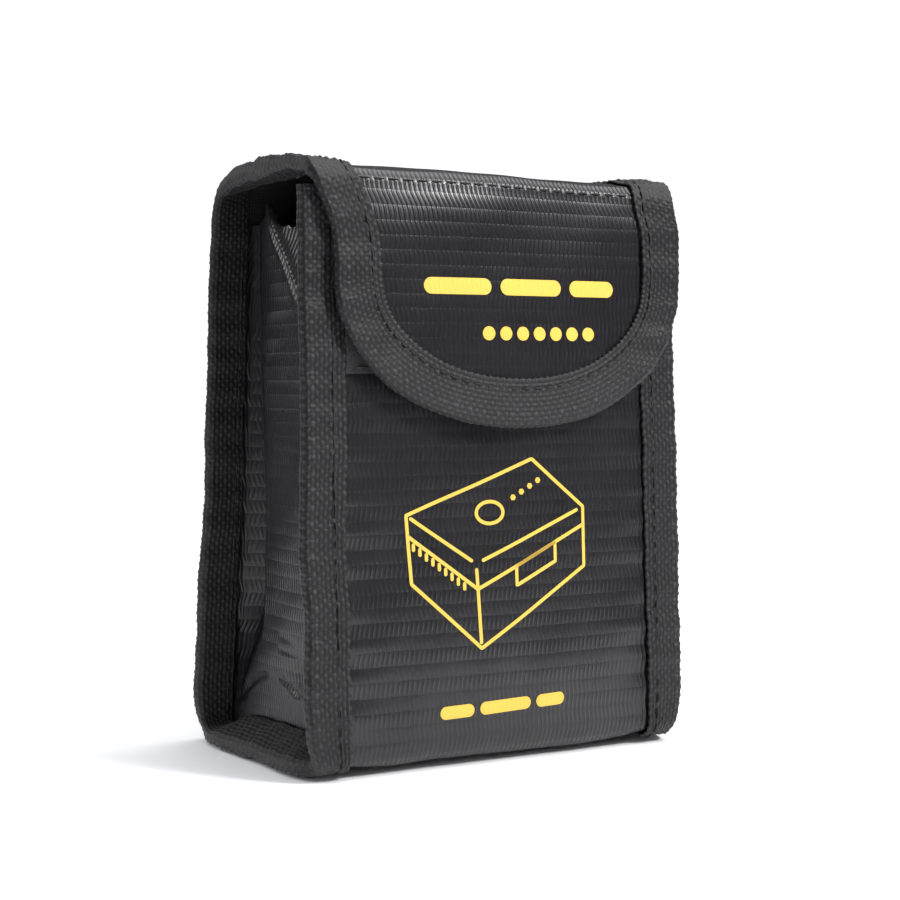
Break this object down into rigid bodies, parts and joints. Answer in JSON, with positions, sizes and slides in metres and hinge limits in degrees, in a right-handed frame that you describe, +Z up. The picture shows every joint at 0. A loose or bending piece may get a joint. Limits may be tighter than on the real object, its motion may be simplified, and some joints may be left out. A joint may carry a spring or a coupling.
{
  "type": "lipo safe bag",
  "caption": "Fire-resistant cloth pouch for a lithium battery pack, with pleated side gussets, bound seams and a rounded flap closed by hook and loop.",
  "frame": {"origin": "on the floor under the middle of the closed standing bag", "axes": "+Z up towards the lid, -Y out of the front that the flap covers, +X to the right seen from the front"},
  "size_m": [0.1086, 0.0698, 0.1424],
  "materials": {
    "cloth": "coated glass-fibre cloth, satin",
    "tape": "ribbed woven webbing, matte",
    "fastener": "hook and loop, matte",
    "thread": "twisted polyester thread",
    "ink": "screen-printed ink"
  },
  "bodies": {
    "pouch": {"front_panel": "cloth", "bottom_panel": "cloth", "back_panel": "cloth", "left_gusset": "cloth", "left_front_binding": "tape", "left_bottom_binding": "tape", "left_back_binding": "tape", "left_front_thread": "thread", "left_bottom_thread": "thread", "left_back_thread": "thread", "right_gusset": "cloth", "right_front_binding": "tape", "right_bottom_binding": "tape", "right_back_binding": "tape", "right_front_thread": "thread", "right_bottom_thread": "thread", "right_back_thread": "thread", "loop_strip": "fastener", "loop_strip_thread": "thread", "pack_outline_print": "ink", "pack_button_print": "ink", "pack_left_edge_print": "ink", "pack_right_edge_print": "ink", "pack_lower_edge_print": "ink", "pack_light_1_print": "ink", "pack_light_2_print": "ink", "pack_light_3_print": "ink", "pack_light_4_print": "ink", "pack_caption_print": "ink"},
    "lid": {"top_panel": "cloth", "left_top_rear_binding": "tape", "left_top_front_binding": "tape", "right_top_rear_binding": "tape", "right_top_front_binding": "tape"},
    "flap": {"flap_panel": "cloth", "flap_binding": "tape", "hook_patch": "fastener", "flap_binding_thread": "thread", "flap_fold_thread": "thread", "flap_word_print": "ink", "flap_mark_print": "ink"}
  },
  "joints": [
    {"name": "lid_fold", "type": "hinge", "parent": "pouch", "child": "lid", "pos_m": [0, 0.02591, 0.14055], "axis": [-1, 0, 0], "range_deg": [0, 180]},
    {"name": "flap_fold", "type": "hinge", "parent": "lid", "child": "flap", "pos_m": [0, -0.02795, 0.14084], "axis": [-1, 0, 0], "range_deg": [0, 90]}
  ]
}
